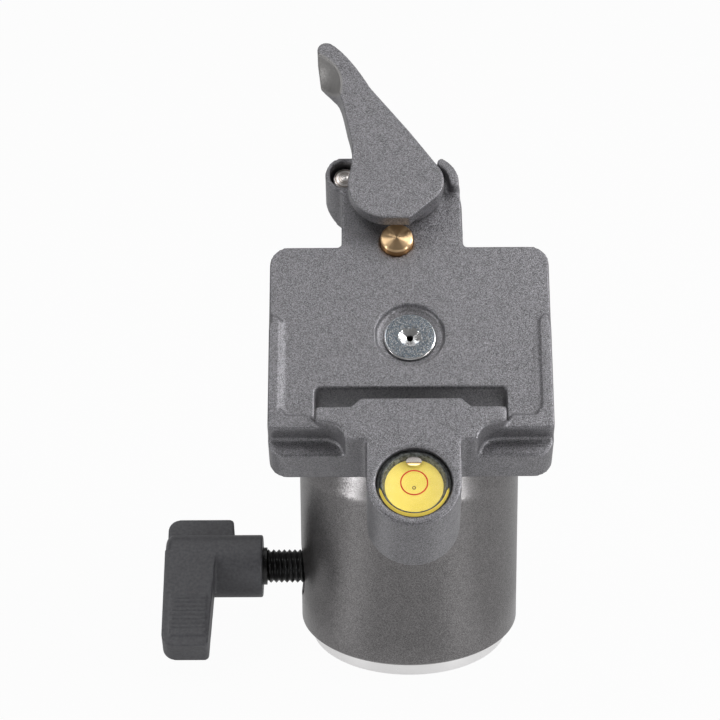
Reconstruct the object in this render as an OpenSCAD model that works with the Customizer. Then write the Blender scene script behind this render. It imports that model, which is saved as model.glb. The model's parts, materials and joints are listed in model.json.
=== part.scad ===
// Tripod ball head with a camera-plate clamp, millimetres.
// +Z up through the body, -Y to the front, origin at the middle of the base's underside.
// The head is stored as it stands: ball tipped forward, clamp lever open.

/* [Pose] */
// Tip of the head towards the front, degrees
head_tilt = 37; // [0:1:45]

/* [Body] */
// Height of the ball's centre above the tripod
ball_z = 54.6; // [54:0.1:56]
// Height where the body's straight side ends
side_top_z = 46; // [44:0.5:48]
// Height of the body's rim above the ball's centre
rim_rise = 5; // [4:0.1:6]
// Wall of the body outside its bore
body_wall = 5.1; // [4.7:0.1:6.7]
// Wall of the rim outside the bore
rim_wall = 0.3; // [0.2:0.1:1.2]
// Lower edge of the painted body
body_foot_z = 3.8; // [3.7:0.1:5]
// Chamfer at the body's lower edge
body_chamfer = 0.5; // [0.2:0.1:1]

/* [Ball] */
// Radius of the ball
ball_r = 19; // [18:0.1:21.3]
// Wall of the seats between the ball and the body's bore
seat_wall = 1.3; // [1:0.1:2]
// Radius of the ball's neck
neck_r = 7.5; // [6:0.1:8]
// Gap around the neck when it drops into the side notch
notch_gap = 0.5; // [0.3:0.1:1]
// Radius of the neck's spigot inside the deck
spigot_r = 6; // [5:0.1:6.5]
// Thickness of the slip washer under the deck
washer_t = 1; // [0.6:0.1:1.4]

/* [Base] */
// Distance that the base's edge lies inside the body's side
base_inset = 2.4; // [1:0.1:4]
// Thickness of the base's flange
base_t = 3.5; // [3:0.1:3.6]
// Major radius of the 3/8 inch thread under the base
tripod_thread_r = 4.76; // [3.1:0.01:5]
// Depth of that thread
tripod_thread_depth = 8.5; // [6:0.5:9]
// Radius of the spigot that the body pans on
pan_r = 15; // [13:0.5:16]

/* [Lock] */
// Height of the lock stud's axis
stud_z = 16.5; // [16.5:0.1:18]
// Major radius of the M8 lock stud
stud_r = 4; // [3.9:0.1:4.2]
// Pitch of the stud's thread
stud_pitch = 1.25; // [1:0.05:1.5]
// Depth of the stud's thread
stud_thread_depth = 0.62; // [0.3:0.02:0.7]
// Slope of the thrust wedge, degrees
wedge_slope = 25; // [15:1:35]
// Radius of the thrust wedge
wedge_r = 5; // [4.5:0.1:5.2]
// Radius of the lift piston's stem
piston_r = 8; // [6.5:0.1:9]

/* [Knob] */
// Distance from the body's side to the knob's inner end
knob_gap = 9.1; // [7.6:0.1:12.6]
// Length of the knob along its axis
knob_len = 22.8; // [18:0.2:26]
// Radius of the knob's hub
hub_r = 7.35; // [6.5:0.05:8]
// Reach of the long paddle from the knob's axis
paddle_reach = 25.8; // [20:0.2:28]
// Width of the long paddle along the axis
paddle_w = 12; // [9:0.5:14]
// Thickness of the paddles
paddle_t = 7; // [5:0.1:7.2]
// Reach of the short wing from the knob's axis
wing_reach = 13.3; // [10:0.1:16]
// Width of the short wing along the axis
wing_w = 16; // [12:0.5:18]
// Turn of the long paddle below the horizontal, degrees
knob_turn = 30; // [0:5:60]
// Number of grip ribs on the long paddle
rib_count = 10; // [4:1:10]
// Pitch of the grip ribs
rib_pitch = 1.12; // [0.9:0.02:1.2]

/* [Deck] */
// Distance from the ball's centre to the deck's top face
deck_rise = 40.8; // [40.6:0.1:44]
// Width of the deck
deck_w = 62; // [60:0.5:66]
// Distance from the screw to the deck's back edge
deck_back = 22.4; // [20:0.2:22.6]
// Distance from the screw to the front of the lower ledge
deck_front = 28; // [26:0.2:29]
// Depth of the deck's casting
deck_t = 14.3; // [12:0.1:14.5]
// Thickness of the casting's top wall
deck_skin = 4.5; // [3.5:0.1:6]
// Thickness of the casting's side walls
deck_wall = 3; // [2:0.1:4]
// Radius of the deck's corners
deck_corner = 4.5; // [2:0.5:6]
// Height of the side rails above the deck
rail_h = 1; // [0.6:0.1:2]
// Clear width between the side rails
rail_gap = 55.4; // [53:0.2:57]
// Slope of the rails' inner walls, measured across
rail_slope = 1.1; // [0.2:0.1:1.6]
// Distance from the screw to the back end of the rails
rail_back = 2.6; // [0:0.2:8]
// Depth of the front ledge below the deck
ledge_drop = 4; // [2:0.5:5]
// Depth of the front ledge from back to front
ledge_depth = 4.3; // [3:0.1:5]

/* [Fixed jaw] */
// Height of the fixed jaw above the deck
jaw_h = 4; // [3:0.1:5]
// Distance from the screw to the middle of the jaw's lip
lip_mid = 17.8; // [17:0.1:19]
// Distance from the screw to the sides of the jaw's lip
lip_side = 19.8; // [19:0.1:21]
// Half the length of the jaw
jaw_half = 20.6; // [18:0.2:22]
// Distance from the screw to the back of the slot
slot_back = 13.3; // [12:0.1:15]
// Radius of the hollow corners of the jaw
jaw_corner = 4.2; // [3:0.1:5]

/* [Level] */
// Offset of the level from the screw, to the right
level_x = 0.5; // [0:0.05:1]
// Distance from the screw to the level's centre
level_front = 38.1; // [37:0.1:40]
// Radius of the level's housing
level_r = 10.15; // [9.5:0.05:11]
// Radius of the vial
vial_r = 8; // [6.5:0.1:8.5]
// Radius of the yellow dial
dial_r = 6.4; // [5:0.1:6.8]
// Mean radius of the red ring
ring_r = 2.85; // [2:0.05:3.5]
// Depth of the level's housing below the deck
level_depth = 16.5; // [12:0.1:16.6]

/* [Clamp lever] */
// Place of the lever's pivot, to the right of the screw
pivot_x = -1.2; // [-2:0.1:0]
// Place of the lever's pivot, behind the screw
pivot_y = 37; // [36:0.1:38]
// Height of the lever's top above the deck
lever_top = 7; // [6:0.1:9]
// Height of the cam's underside above the deck
cam_under = 3.6; // [3.5:0.1:4]
// Reach of the lever's arm behind its pivot
lever_reach = 33.6; // [30:0.2:38]
// Radius of the thumb scoop at the arm's end
scoop_r = 9; // [8:0.5:14]
// Radius of the lever's shaft
shaft_r = 3; // [2.5:0.1:3.5]
// Radius of the release plunger
plunger_r = 3.6; // [3:0.1:3.8]
// Height of the release plunger above the deck
plunger_h = 2; // [1.6:0.1:3.4]
// Travel of the release plunger
plunger_travel = 2; // [1.6:0.1:3.4]
// Radius of the detent pin beside the lever
pin_r = 2.7; // [2:0.1:3]

/* [Fits] */
// Radial clearance of running fits
run_gap = 0.05; // [0.02:0.01:0.09]
// Radial clearance around the ball
ball_gap = 0.06; // [0.02:0.01:0.09]
// Gap between faces that turn past each other
face_gap = 0.1; // [0.05:0.05:0.3]
// Wider gap between moving pieces that don't bear on each other
air_gap = 0.3; // [0.2:0.05:0.5]

/* [Hidden] */
$fn = 96;
eps = 0.01;
cut = 60;
paint = [0.36, 0.36, 0.37];
dark_plastic = [0.24, 0.24, 0.25];
bright = [0.86, 0.86, 0.87];
steel = [0.62, 0.63, 0.65];
black = [0.08, 0.08, 0.08];
brass = [0.83, 0.65, 0.36];
acetal = [0.92, 0.91, 0.86];

// Body, from the ball outwards
bore_r = ball_r + seat_wall;
body_r = bore_r + body_wall;
rim_r = bore_r + rim_wall;
rim_round = 1;
shoulder_r = 6;
shoulder_turn = 19;
base_r = body_r - base_inset;
knob_in = body_r + knob_gap;

// Pan bearing
pan_shelf_z = 7;
pan_washer_t = 0.8;
washer_z = pan_shelf_z + face_gap;
spigot_top_z = washer_z + pan_washer_t + face_gap;
retainer_t = 1.5;
retainer_z = spigot_top_z;
retainer_r = bore_r - 1.3;
boss_r = 6.5;
boss_top_z = tripod_thread_depth + 1;
retainer_screw_r = 1.25;
retainer_screw_ring = 10.5;
retainer_screw_len = 3.6;
retainer_head_r = 2.2;
retainer_head_t = 0.5;

// Ball seats
rim_z = ball_z + rim_rise;
lip_t = 1.3;
seat_top_z = rim_z - lip_t;
seat_step = 0.4;
seat_z = ball_z - 1.5;
seat_r = ball_r + ball_gap;
rim_bore_r = sqrt(ball_r * ball_r - pow(rim_rise - lip_t, 2)) + air_gap;
notch_r = neck_r + notch_gap;

// Lock train
core_z = retainer_z + retainer_t + retainer_head_t + air_gap;
stud_cover = 6.5;
core_top_z = stud_z + stud_cover;
core_r = bore_r - face_gap;
piston_drop = 2.5;
piston_floor_z = stud_z - piston_drop;
piston_play = 1.4;
piston_head_z = core_top_z + piston_play;
piston_head_t = 2.6;
piston_head_r = 15;
spring_z = piston_head_z + piston_head_t;
disc_t = 0.8;
disc_cone = 0.6;
cup_z = spring_z + 2 * (disc_t + disc_cone);
cup_hold = 8;
cup_top_z = ball_z - ball_r + cup_hold;
cup_r = bore_r - 2 * face_gap;
wedge_len = 17;
wedge_back = -9;
wedge_top = 2.2;
bush_wall = 2.8;
bush_r = stud_r + bush_wall;
bush_inside = 3.9;
bush_len = body_wall + bush_inside;
bush_skin = 0.6;
stud_tip = wedge_back - face_gap;
insert_r = 4.4;
insert_out = 1;
knob_out = knob_in + knob_len;

// Head
deck_bottom = deck_rise - deck_t;
neck_top = deck_bottom - washer_t - face_gap;
neck_foot = 0.45;
spigot_top = deck_rise - 7.6;
screw_r = 3;
screw_head_r = 5.77;
screw_top = 1;
screw_cone = screw_head_r - screw_r;
recess_r = 7.6;
recess_depth = 1.7;
hex_af = 4;
hex_r = hex_af / sqrt(3);
screw_len = 13;
central_boss_r = 10.5;
rail_in = rail_gap / 2;
strip_back = 20.4;
strip_in = 22;
edge_front = deck_front - ledge_depth;
lip_under = jaw_h - 1.7;
lip_reach = 2.4;
step_u = 10.8;
step_run = 2;
vial_depth = 6;
vial_gap = 0.12;
lens_top = jaw_h - 0.4;
lens_t = 0.7;
dial_drop = 1;
dial_sag = 1.1;
dial_curve = (dial_r * dial_r + dial_sag * dial_sag) / (2 * dial_sag);
dial_top = lens_top - dial_drop;
dial_t = 0.5;
ring_w = 0.3;
ring_t = 0.06;
bubble_r = 1.3;
bubble_t = 0.25;

// Clamp
boss_x = -14.3;
boss_y = 41.4;
cup_wall = 1.1;
latch_boss_r = 4.5;
latch_boss_end = 17.2;
latch_boss_cut = 54;
pin_drop = 1.4;
fin_x = 3.9;
fin_in = 5.3;
fin_out = 7.4;
fin_mid = (fin_in + fin_out) / 2;
fin_end = 56;
fin_h = 3.5;
plunger_x = -2.75;
plunger_y = 23.6;
guide_depth = 9;
guide_end = guide_depth + 1.2;
guide_r = plunger_r + 1.6;
stem_r = 2;
shoulder_z = plunger_travel + 2.9 - guide_depth;
plunger_clip_t = 0.5;
pin_len = 5;
pin_bore = 12;
lever_under = 0.4;
cam_boss_r = 8.8;
lever_post_r = 5.5;
lever_post_end = 11.3;
neck_room_x = [-12.5, 9];
neck_room_y = 36.5;
neck_skin = 5.5;
spring_room_r = 7;
shaft_end = deck_t - 1;
clip_t = 0.8;
clip_z = -lever_post_end - face_gap - clip_t;
spring_wire = 0.7;
rib_x = 20;
rib_t = 1.8;
latch_cup_depth = 6;

// ---- helpers ----

// Points of an arc about [x, y] from angle a to angle b
function arc(x, y, r, a, b, n = 12) =
    [for (i = [0:n]) let (t = a + (b - a) * i / n) [x + r * cos(t), y + r * sin(t)]];

// Points of a cubic curve with two end points and two handles
function curve(p, q, r, s, n = 10) =
    [for (i = [0:n]) let (t = i / n, m = 1 - t)
        m * m * m * p + 3 * m * m * t * q + 3 * m * t * t * r + t * t * t * s];

// Outline of a box from [x0, y0] to [x1, y1] with corner radii front and back
function round_box(x0, y0, x1, y1, rf, rb, n = 8) = concat(
    arc(x1 - rf, y0 + rf, rf, -90, 0, n), arc(x1 - rb, y1 - rb, rb, 0, 90, n),
    arc(x0 + rb, y1 - rb, rb, 90, 180, n), arc(x0 + rf, y0 + rf, rf, 180, 270, n));

// Places its children on the tipped head, with z = 0 at the ball's centre
module on_ball() {
    translate([0, 0, ball_z]) rotate([head_tilt, 0, 0]) children();
}

// Places its children on the tipped head, with z = 0 at the deck's top face
module on_deck() {
    on_ball() translate([0, 0, deck_rise]) children();
}

// Places its children on the lock stud's axis, with +Z pointing out of the body's left side
module on_stud() {
    translate([0, 0, stud_z]) rotate([0, -90, 0]) children();
}

// Places its children in the knob's frame: x out along the axis, y along the long paddle
module on_knob() {
    translate([0, 0, stud_z]) rotate([knob_turn, 0, 0]) rotate([0, 0, 180]) children();
}

// Plain tube from z0 to z1
module tube(ro, ri, z0, z1) {
    translate([0, 0, z0]) difference() {
        cylinder(r = ro, h = z1 - z0);
        translate([0, 0, -1]) cylinder(r = ri, h = z1 - z0 + 2);
    }
}

// Coil spring drawn as a stack of round-wire turns
module turns(coil_r, wire, z0, z1, n) {
    pitch = (z1 - z0 - wire) / (n - 1);
    for (i = [0:n - 1])
        translate([0, 0, z0 + wire / 2 + i * pitch])
            rotate_extrude($fn = 48) translate([coil_r, 0]) circle(d = wire, $fn = 16);
}

// ---- base ----

// Turned silver base with the tripod thread and the spigot that the body pans on
module base_plate() {
    color(bright) difference() {
        rotate_extrude() polygon([
            [0, 0], [base_r - 0.4, 0], [base_r, 0.4], [base_r, base_t - 0.2],
            [base_r - 0.2, base_t], [pan_r, base_t], [pan_r, spigot_top_z],
            [boss_r, spigot_top_z], [boss_r, boss_top_z], [0, boss_top_z]]);
        translate([0, 0, -1]) cylinder(r = tripod_thread_r, h = tripod_thread_depth + 1);
        for (a = [0:120:240]) rotate(a)
            translate([retainer_screw_ring, 0, spigot_top_z - retainer_screw_len - air_gap])
                cylinder(r = retainer_screw_r, h = cut, $fn = 32);
    }
}

// Ring that holds the body down on the base
module pan_retainer() {
    color(steel) difference() {
        tube(retainer_r, boss_r + face_gap, retainer_z, retainer_z + retainer_t);
        for (a = [0:120:240]) rotate(a) translate([retainer_screw_ring, 0, retainer_z - 1])
            cylinder(r = retainer_screw_r + face_gap, h = retainer_t + 2, $fn = 32);
    }
}

// Three small screws through the retaining ring into the spigot
module retainer_screws() {
    color(steel) for (a = [0:120:240]) rotate(a)
        translate([retainer_screw_ring, 0, spigot_top_z]) {
            translate([0, 0, -retainer_screw_len])
                cylinder(r = retainer_screw_r - run_gap, h = retainer_screw_len + retainer_t, $fn = 32);
            translate([0, 0, retainer_t]) cylinder(r = retainer_head_r, h = retainer_head_t, $fn = 32);
        }
}

// Slippery washer between the retaining ring and the body's foot
module pan_washer() {
    color(acetal) tube(retainer_r, pan_r + air_gap, washer_z, washer_z + pan_washer_t);
}

// Ring pressed into the body's foot, which runs on the base's spigot
module bearing_ring() {
    color(steel) tube(bore_r - run_gap, pan_r + run_gap, body_foot_z, pan_shelf_z);
}

// ---- body ----

// Painted body with its rim, its side notch and the hole for the lock stud
module housing() {
    color(paint) difference() {
        rotate_extrude() polygon(concat(
            [[bore_r, body_foot_z], [body_r - body_chamfer, body_foot_z],
             [body_r, body_foot_z + body_chamfer]],
            arc(body_r - shoulder_r, side_top_z - 2, shoulder_r, 0, shoulder_turn, 6),
            [[rim_r + 0.9, rim_z - 1.6 * rim_round]],
            arc(rim_r + 0.6 - rim_round, rim_z - rim_round, rim_round, 20, 90, 5),
            [[rim_bore_r, rim_z], [rim_bore_r, seat_top_z], [bore_r, seat_top_z - seat_step]]));
        // drop notch at the front
        hull() for (z = [0, 20]) translate([0, 0, ball_z + z]) rotate([90, 0, 0])
            cylinder(r = notch_r, h = cut, $fn = 32);
        on_stud() cylinder(r = bush_r, h = cut);
    }
}

// Acetal ring above the ball's widest line, cut through at the notch
module upper_seat() {
    color(acetal) difference() {
        rotate_extrude() polygon([
            [seat_r + 0.1, seat_z], [bore_r - face_gap, seat_z],
            [bore_r - face_gap, seat_top_z - seat_step - face_gap], [rim_bore_r, seat_top_z - face_gap]]);
        translate([0, 0, ball_z]) sphere(r = seat_r);
        translate([-notch_r - face_gap, -cut, seat_z - 1])
            cube([2 * (notch_r + face_gap), cut, rim_rise + 5]);
    }
}

// Block that fills the foot of the body and guides the wedge and the piston
module core_block() {
    color(steel) difference() {
        translate([0, 0, core_z]) cylinder(r = core_r, h = core_top_z - core_z);
        on_stud() translate([0, 0, -wedge_back - wedge_len - 1])
            cylinder(r = wedge_r + run_gap, h = cut);
        translate([0, 0, piston_floor_z]) cylinder(r = piston_r + run_gap, h = cut);
        on_stud() translate([0, 0, body_r - bush_len - 2 * face_gap])
            cylinder(r = bush_r + face_gap, h = cut);
    }
}

// Threaded bush for the lock stud, let into the body's wall
module stud_bush() {
    color(steel) difference() {
        on_stud() translate([0, 0, body_r - bush_len]) difference() {
            cylinder(r = bush_r - face_gap, h = bush_len - bush_skin - 2 * face_gap);
            translate([0, 0, -1]) cylinder(r = stud_r + run_gap, h = bush_len + 2);
        }
        difference() {
            cylinder(r = body_r + 5, h = cut);
            translate([0, 0, -1]) cylinder(r = body_r - bush_skin, h = cut + 2);
        }
    }
}

// ---- lock ----

// Plane of the wedge: everything above it, lifted by gap
module above_slope(gap) {
    translate([0, 0, stud_z + wedge_top + gap]) rotate([0, wedge_slope, 0])
        translate([-cut / 2, -cut / 2, 0]) cube([cut, cut, cut / 2]);
}

// Sliding wedge that the lock stud pushes in
module thrust_wedge() {
    color(steel) difference() {
        on_stud() translate([0, 0, -wedge_back - wedge_len]) cylinder(r = wedge_r, h = wedge_len);
        above_slope(0);
    }
}

// Piston that rides up the wedge and lifts the cup
module lift_piston() {
    color(steel) {
        intersection() {
            translate([0, 0, stud_z - wedge_r]) cylinder(r = piston_r, h = piston_head_z - stud_z + wedge_r);
            above_slope(face_gap);
        }
        translate([0, 0, piston_head_z - eps]) cylinder(r = piston_head_r, h = piston_head_t + eps);
    }
}

// Two coned spring washers, back to back
module disc_springs() {
    ri = piston_r - 1;
    ro = piston_head_r - 1;
    color(steel) for (s = [0, 1]) translate([0, 0, spring_z + (s == 0 ? 0 : 2 * (disc_t + disc_cone))])
        mirror([0, 0, s]) rotate_extrude() polygon([
            [ri, disc_cone + eps], [ro, eps], [ro, disc_t], [ri, disc_t + disc_cone - eps]]);
}

// Cup that presses the ball up against its seat
module lower_cup() {
    color(acetal) difference() {
        translate([0, 0, cup_z]) cylinder(r = cup_r, h = cup_top_z - cup_z);
        translate([0, 0, ball_z]) sphere(r = seat_r);
        translate([0, 0, cup_z - 1]) cylinder(r = 6, h = cut);
    }
}

// M8 lock stud: plain shank in the knob, ridged thread outside and in the bush
module lock_stud() {
    tip_z = -stud_tip;
    root_r = stud_r - stud_thread_depth;
    end_z = knob_out - 5;
    n = floor((knob_in - tip_z - 4) / stud_pitch);
    color(black) on_stud() rotate_extrude() polygon(concat(
        [[0, tip_z], [root_r - 1, tip_z], [root_r - run_gap, tip_z + 1]],
        [for (i = [0:n - 1], k = [0, 1]) let (z = tip_z + 2 + i * stud_pitch)
            k == 0 ? [root_r, z] : [stud_r - 0.02, z + stud_pitch / 2]],
        [[root_r, tip_z + 2 + n * stud_pitch], [root_r, end_z], [0, end_z]]));
}

// Threaded metal insert moulded into the knob, with a short collar outside
module knob_insert() {
    color(black) on_stud() tube(insert_r, stud_r - stud_thread_depth + 0.02,
                                knob_in - insert_out, knob_out - 6);
}

// Outline of a paddle: w wide along the axis from the knob's outer end, reach long
function paddle_outline(w, reach, taper, r) = concat(
    [[knob_out - w, 0]],
    arc(knob_out - w + taper + 1, reach - 1, 1, 180, 90, 4),
    arc(knob_out - r, reach - r, r, 90, 0, 8),
    [[knob_out, 0]]);

// Dark plastic knob with a long ribbed paddle and a short wing
module knob() {
    color(dark_plastic) difference() {
        on_knob() {
            rotate([0, 90, 0]) translate([0, 0, knob_in]) rotate_extrude() polygon(concat(
                [[0, 0], [hub_r - 0.2, 0], [hub_r, 0.2]],
                arc(hub_r - 2, knob_len - 2, 2, 0, 90, 6), [[0, knob_len]]));
            translate([0, 0, hub_r - paddle_t]) linear_extrude(height = paddle_t - eps)
                polygon(paddle_outline(paddle_w, paddle_reach, 1.2, 3.2));
            rotate([180, 0, 0]) translate([0, 0, hub_r - paddle_t])
                linear_extrude(height = paddle_t - eps)
                polygon(paddle_outline(wing_w, wing_reach, 0.4, 3));
            for (i = [0:rib_count - 1])
                translate([knob_out - paddle_w + 2, paddle_reach - 13.2 + i * rib_pitch, hub_r - 0.1])
                    cube([paddle_w - 4, rib_pitch * 0.5, 0.38]);
        }
        on_stud() translate([0, 0, knob_in - 1]) cylinder(r = insert_r + run_gap, h = knob_len - 4);
    }
}

// ---- ball ----

// Ball with its neck and the spigot that the deck turns on
module ball_stem() {
    color(steel) on_ball() difference() {
        union() {
            sphere(r = ball_r);
            cylinder(r = neck_r, h = neck_top);
            cylinder(r = spigot_r, h = spigot_top);
            translate([0, 0, sqrt(ball_r * ball_r - neck_r * neck_r) - neck_foot])
                cylinder(r1 = neck_r + neck_foot, r2 = neck_r, h = 3 * neck_foot);
        }
        translate([0, 0, spigot_top - 9]) cylinder(r = screw_r, h = 20);
    }
}

// Slip washer between the neck's shoulder and the deck
module slip_washer() {
    color(acetal) on_ball() tube(neck_r, spigot_r + run_gap, neck_top, neck_top + washer_t);
}

// Bright countersunk screw in the middle of the deck
module centre_screw() {
    color(bright) on_deck() difference() {
        rotate_extrude() polygon([
            [0, -screw_top], [screw_head_r, -screw_top], [screw_head_r, -screw_top - 0.5],
            [screw_r - run_gap, -screw_top - 0.5 - screw_cone],
            [screw_r - run_gap, -screw_top - screw_len + 0.8],
            [screw_r - 0.8, -screw_top - screw_len], [0, -screw_top - screw_len]]);
        translate([0, 0, -screw_top - 3]) cylinder(r = hex_r, h = 4, $fn = 6);
        translate([0, 0, -screw_top - 0.6]) cylinder(r1 = hex_af / 2, r2 = hex_af / 2 + 0.7, h = 0.62);
    }
}

// ---- deck ----

// Plan of the neck behind the deck, with round ends about the pivot and the fin
module neck_plan() {
    polygon([[-15.1, deck_back - 2], [12.1, deck_back - 2], [11.9, 33], [fin_x + fin_out, pivot_y],
             [pivot_x, pivot_y], [boss_x, boss_y], [-15.1, boss_y - 4]]);
    translate([fin_x, pivot_y]) circle(r = fin_out + 0.25);
    translate([pivot_x, pivot_y]) circle(r = 9.2);
    polygon([[-15.1, boss_y - 5], [boss_x + 1, boss_y + latch_boss_r - 0.1],
             [pivot_x, pivot_y + 9.1], [pivot_x, pivot_y - 5]]);
}

// Plan of the fixed jaw: a lip behind and hollow round corners in front
function jaw_plan() = let (h = jaw_half, f = deck_front, c = jaw_corner) concat(
    [[-step_u, -lip_mid], [-step_u - step_run, -lip_side]],
    arc(-h + 0.8, -lip_side - 0.8, 0.8, 90, 180, 4),
    arc(-h + 0.8, -f + c + 1.1, 0.8, 180, 270, 4),
    arc(-h + 2.1, -f - 0.05, c, 90, 0, 8),
    arc(h - 2.1, -f - 0.05, c, 180, 90, 8),
    arc(h - 0.8, -f + c + 1.1, 0.8, 270, 360, 4),
    arc(h - 0.8, -lip_side - 0.8, 0.8, 0, 90, 4),
    [[step_u + step_run, -lip_side], [step_u, -lip_mid]]);

// Outer shape of the whole casting
module deck_body() {
    hw = deck_w / 2;
    // lower part with the front ledge
    translate([0, 0, -deck_t]) linear_extrude(height = deck_t - ledge_drop)
        polygon(round_box(-hw, -deck_front, hw, deck_back, 4, deck_corner));
    // upper part
    translate([0, 0, -deck_t]) linear_extrude(height = deck_t)
        polygon(round_box(-hw, -edge_front, hw, deck_back, 0.8, deck_corner));
    // side rails, turned inwards at the front
    for (s = [0, 1]) mirror([s, 0, 0]) difference() {
        linear_extrude(height = rail_h) polygon(concat(
            [[hw, -edge_front + 0.8], [hw, -rail_back + 4], [hw - 0.9, rail_back + 2.4],
             [rail_in, rail_back]],
            arc(rail_in - 1.2, -strip_back + 1.2, 1.2, 0, -90, 5),
            [[strip_in, -strip_back], [strip_in - 3, -edge_front], [hw - 0.8, -edge_front]]));
        translate([rail_in, rail_back + 3, 0]) rotate([90, 0, 0])
            linear_extrude(height = rail_back + 3 + strip_back - 1.2)
            polygon([[-1, 0], [0, 0], [rail_slope, rail_h], [rail_slope, 2], [-1, 2]]);
    }
    // fixed jaw
    translate([0, 0, -deck_t]) linear_extrude(height = deck_t + jaw_h) polygon(jaw_plan());
    // housing of the level
    translate([level_x, -level_front, -level_depth]) cylinder(r = level_r, h = level_depth + jaw_h);
    translate([level_x - level_r, -level_front, -level_depth])
        cube([2 * level_r, level_front - lip_side - 3, level_depth + jaw_h]);
    // neck with its latch boss and fin
    translate([0, 0, -deck_t]) linear_extrude(height = deck_t) neck_plan();
    translate([boss_x, boss_y, 0]) difference() {
        translate([0, 0, -latch_boss_end]) cylinder(r = latch_boss_r, h = latch_boss_end);
        translate([-0.8, 0, -latch_boss_end]) rotate([0, latch_boss_cut, 0])
            translate([-2 * cut, -cut, -cut]) cube([2 * cut, 2 * cut, cut]);
    }
    translate([fin_x, pivot_y, -1]) linear_extrude(height = fin_h + 1)
        polygon(concat(
            arc(0, 0, fin_out, 0, fin_end),
            arc(fin_mid * cos(fin_end), fin_mid * sin(fin_end), fin_out - fin_mid, fin_end, fin_end + 180, 6),
            arc(0, 0, fin_in, fin_end, 0), arc(fin_mid, 0, fin_out - fin_mid, 180, 360, 6)));
}

// Hollow underside: a shell with a boss round the ball's spigot and guides for the clamp
module deck_hollow() {
    hw = deck_w / 2 - deck_wall;
    difference() {
        union() {
            translate([-hw, -slot_back, -cut])
                cube([2 * hw, slot_back + deck_back - deck_wall, cut - deck_skin]);
            translate([-jaw_half - 0.1, -lip_side - lip_reach, -cut])
                cube([2 * jaw_half + 0.2, lip_side + lip_reach - slot_back + 1, cut - deck_skin]);
            translate([neck_room_x[0], deck_back - 1.5, -cut])
                cube([neck_room_x[1] - neck_room_x[0], neck_room_y - deck_back + 1.5, cut - neck_skin]);
            translate([pivot_x, pivot_y, -cut]) cylinder(r = spring_room_r, h = cut - neck_skin);
            translate([plunger_x, plunger_y, -cut]) cylinder(r = guide_r, h = cut - guide_end);
            translate([level_x, -level_front, -cut]) cylinder(r = level_r - 2, h = cut - vial_depth);
        }
        cylinder(r = central_boss_r, h = 4 * cut, center = true);
        translate([plunger_x, plunger_y, -guide_end]) cylinder(r = guide_r, h = cut);
        translate([pivot_x, pivot_y, -lever_post_end]) cylinder(r = lever_post_r, h = cut);
        // stiffening ribs
        for (x = [-rib_x, rib_x])
            translate([x - rib_t / 2, -slot_back, -cut]) cube([rib_t, cut, 2 * cut]);
        translate([-cut, -slot_back - 0.1, -cut]) cube([2 * cut, 2, 2 * cut]);
    }
}

// Die-cast head: deck, rails, fixed jaw, level housing and clamp neck in one piece
module platform() {
    color(paint) on_deck() difference() {
        deck_body();
        deck_hollow();
        // slot behind and under the lip
        translate([-jaw_half - 0.1, -lip_side - lip_reach, -cut])
            cube([2 * jaw_half + 0.2, lip_side + lip_reach - slot_back, cut + lip_under]);
        // screw seat and the bore for the ball's spigot
        translate([0, 0, -recess_depth]) cylinder(r = recess_r, h = cut);
        translate([0, 0, -screw_top - 0.5 - screw_cone - face_gap])
            cylinder(r1 = screw_r + face_gap, r2 = screw_head_r + face_gap, h = screw_cone);
        translate([0, 0, -screw_top - 0.5 - face_gap - eps]) cylinder(r = screw_head_r + face_gap, h = 3);
        translate([0, 0, -cut]) cylinder(r = screw_r + 0.2, h = cut);
        translate([0, 0, -cut - 7.4]) cylinder(r = spigot_r + run_gap, h = cut);
        // vial pocket
        translate([level_x, -level_front, -vial_depth + jaw_h - 0.5])
            cylinder(r = vial_r + 0.15 + run_gap, h = cut);
        // plunger guide, wide below and narrow above its clip
        translate([plunger_x, plunger_y, -guide_depth]) cylinder(r = plunger_r + run_gap, h = cut);
        translate([plunger_x, plunger_y, -cut]) cylinder(r = stem_r + run_gap, h = cut);
        // lever pivot
        translate([pivot_x, pivot_y, -cut]) cylinder(r = shaft_r + run_gap, h = 2 * cut);
        // latch boss
        translate([boss_x, boss_y, -latch_cup_depth]) cylinder(r = latch_boss_r - cup_wall, h = cut);
        translate([boss_x, boss_y, -pin_bore]) cylinder(r = pin_r + run_gap, h = cut);
    }
}

// ---- level ----

// Clear cup of the level with its black rim
module vial_cup() {
    color(black) on_deck() translate([level_x, -level_front, 0]) difference() {
        translate([0, 0, lens_top - vial_depth]) cylinder(r = vial_r, h = vial_depth);
        translate([0, 0, dial_top - dial_sag - dial_t - face_gap])
            cylinder(r = dial_r + vial_gap, h = vial_depth);
    }
}

// Yellow dial at the bottom of the vial, dished towards its middle
module level_dial() {
    color([0.93, 0.86, 0.35]) on_deck()
        translate([level_x, -level_front, dial_top - dial_sag]) rotate_extrude() polygon(concat(
            [[0, -dial_t], [dial_r, -dial_t]],
            [for (i = [8:-1:0]) let (x = dial_r * i / 8)
                [x, dial_curve - sqrt(dial_curve * dial_curve - x * x)]]));
}

// Red centring ring printed on the lens
module level_ring() {
    color([0.8, 0.12, 0.1]) on_deck()
        translate([level_x, -level_front, 0])
            tube(ring_r + ring_w / 2, ring_r - ring_w / 2,
                 lens_top + 0.01, lens_top + 0.01 + ring_t);
}

// Clear lens that closes the vial, hollow underneath for the fluid
module level_lens() {
    color([0.9, 0.9, 0.85, 0.3]) on_deck() translate([level_x, -level_front, lens_top - lens_t])
        rotate_extrude() polygon([
            [0, 0], [dial_r, 0], [dial_r, lens_t - 0.15], [dial_r - 1, lens_t - 0.02], [0, lens_t]]);
}

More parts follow.
